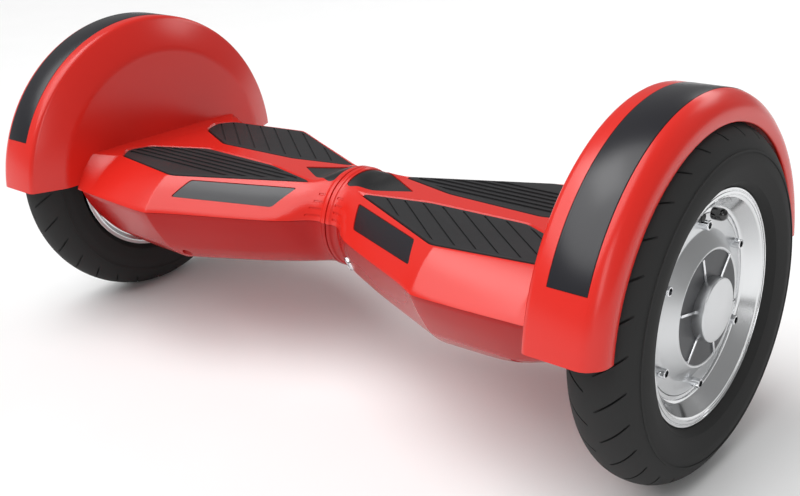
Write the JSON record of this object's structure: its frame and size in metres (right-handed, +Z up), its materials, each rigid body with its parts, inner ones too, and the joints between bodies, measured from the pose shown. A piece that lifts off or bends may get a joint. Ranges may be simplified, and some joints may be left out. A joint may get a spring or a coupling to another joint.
{
  "type": "self-balancing hoverboard",
  "caption": "Two-wheeled self-balancing board: moulded shells that twist about a central pivot, ribbed foot pads, arched fenders and hub-motor wheels with air tyres.",
  "frame": {"origin": "on the ground, under the middle of the central pivot", "axes": "+X along the axles towards the right wheel, +Y towards the back of the board, +Z up"},
  "size_m": [0.6634, 0.2932, 0.2748],
  "materials": {
    "red_shell": "clear-coated red, glossy",
    "black_panel": "black, satin gloss",
    "foot_rubber": "matt black, ribbed",
    "tyre_rubber": "black, matt",
    "tube_rubber": "black butyl",
    "cast_aluminium": "as cast",
    "polished_aluminium": "turned and polished",
    "plain_steel": "zinc plated",
    "motor_core": "laminated core with copper windings",
    "magnet": "nickel plated",
    "bush_bronze": "sintered bronze",
    "cell_pack": "blue shrink sleeve over cells",
    "circuit_board": "solder mask",
    "control_unit": "board on an aluminium heat sink",
    "button_metal": "bright",
    "black_plastic": "black, moulded",
    "cover_rubber": "black, matt"
  },
  "bodies": {
    "left_half": {"upper_shell_left": "red_shell", "fender_left": "red_shell", "lower_shell_left": "red_shell", "chassis_left": "cast_aluminium", "axle_clamp_left": "cast_aluminium", "screws_left": "plain_steel", "sensor_board_left": "circuit_board", "light_front_left": "black_panel", "light_back_left": "black_panel", "fender_strip_left": "black_panel", "centre_cap_left": "black_panel", "axle_left": "plain_steel", "stator_left": "motor_core", "neck_sleeve": "red_shell", "pivot_tube": "plain_steel", "pivot_ring": "plain_steel", "battery_pack": "cell_pack"},
    "right_half": {"upper_shell_right": "red_shell", "fender_right": "red_shell", "lower_shell_right": "red_shell", "chassis_right": "cast_aluminium", "axle_clamp_right": "cast_aluminium", "screws_right": "plain_steel", "sensor_board_right": "circuit_board", "light_front_right": "black_panel", "light_back_right": "black_panel", "fender_strip_right": "black_panel", "centre_cap_right": "black_panel", "axle_right": "plain_steel", "stator_right": "motor_core", "pivot_bushes": "bush_bronze", "control_board": "control_unit", "button_bezel": "button_metal", "charge_port": "black_plastic"},
    "wheel_left": {"tyre_left": "tyre_rubber", "inner_tube_left": "tube_rubber", "valve_cap_left": "black_plastic", "rim_left": "polished_aluminium", "outer_cover_left": "polished_aluminium", "inner_cover_left": "cast_aluminium", "magnet_ring_left": "magnet", "cover_bolts_left": "plain_steel", "hub_cap_left": "polished_aluminium", "wheel_bearings_left": "plain_steel"},
    "wheel_right": {"tyre_right": "tyre_rubber", "inner_tube_right": "tube_rubber", "valve_cap_right": "black_plastic", "rim_right": "polished_aluminium", "outer_cover_right": "polished_aluminium", "inner_cover_right": "cast_aluminium", "magnet_ring_right": "magnet", "cover_bolts_right": "plain_steel", "hub_cap_right": "polished_aluminium", "wheel_bearings_right": "plain_steel"},
    "pad_front_left": {"pad_front_left": "foot_rubber"},
    "pad_back_left": {"pad_back_left": "foot_rubber"},
    "pad_front_right": {"pad_front_right": "foot_rubber"},
    "pad_back_right": {"pad_back_right": "foot_rubber"},
    "power_button": {"power_button": "button_metal"},
    "charge_cover": {"charge_cover": "cover_rubber"}
  },
  "joints": [
    {"name": "half_twist", "type": "hinge", "parent": "left_half", "child": "right_half", "pos_m": [0, 0, 0.1275], "axis": [1, 0, 0], "range_deg": [-12, 12]},
    {"name": "wheel_left_spin", "type": "hinge", "parent": "left_half", "child": "wheel_left", "pos_m": [-0.3045, 0, 0.1275], "axis": [1, 0, 0], "continuous": true},
    {"name": "wheel_right_spin", "type": "hinge", "parent": "right_half", "child": "wheel_right", "pos_m": [0.3045, 0, 0.1275], "axis": [1, 0, 0], "continuous": true},
    {"name": "pad_front_left_press", "type": "slide", "parent": "left_half", "child": "pad_front_left", "axis": [0, 0, -1], "range_m": [0, 0.0015], "stiffness_N_per_m": 4000},
    {"name": "pad_front_right_press", "type": "slide", "parent": "right_half", "child": "pad_front_right", "axis": [0, 0, -1], "range_m": [0, 0.0015], "stiffness_N_per_m": 4000},
    {"name": "pad_back_left_press", "type": "slide", "parent": "left_half", "child": "pad_back_left", "axis": [0, 0, -1], "range_m": [0, 0.0015], "stiffness_N_per_m": 4000},
    {"name": "pad_back_right_press", "type": "slide", "parent": "right_half", "child": "pad_back_right", "axis": [0, 0, -1], "range_m": [0, 0.0015], "stiffness_N_per_m": 4000},
    {"name": "power_button_press", "type": "slide", "parent": "right_half", "child": "power_button", "axis": [0, 0.9397, 0.342], "range_m": [0, 0.001], "stiffness_N_per_m": 1500},
    {"name": "charge_cover_flap", "type": "hinge", "parent": "right_half", "child": "charge_cover", "pos_m": [0.031, 0.0608, 0.11631], "axis": [1, 0, 0], "range_deg": [0, 100]}
  ]
}
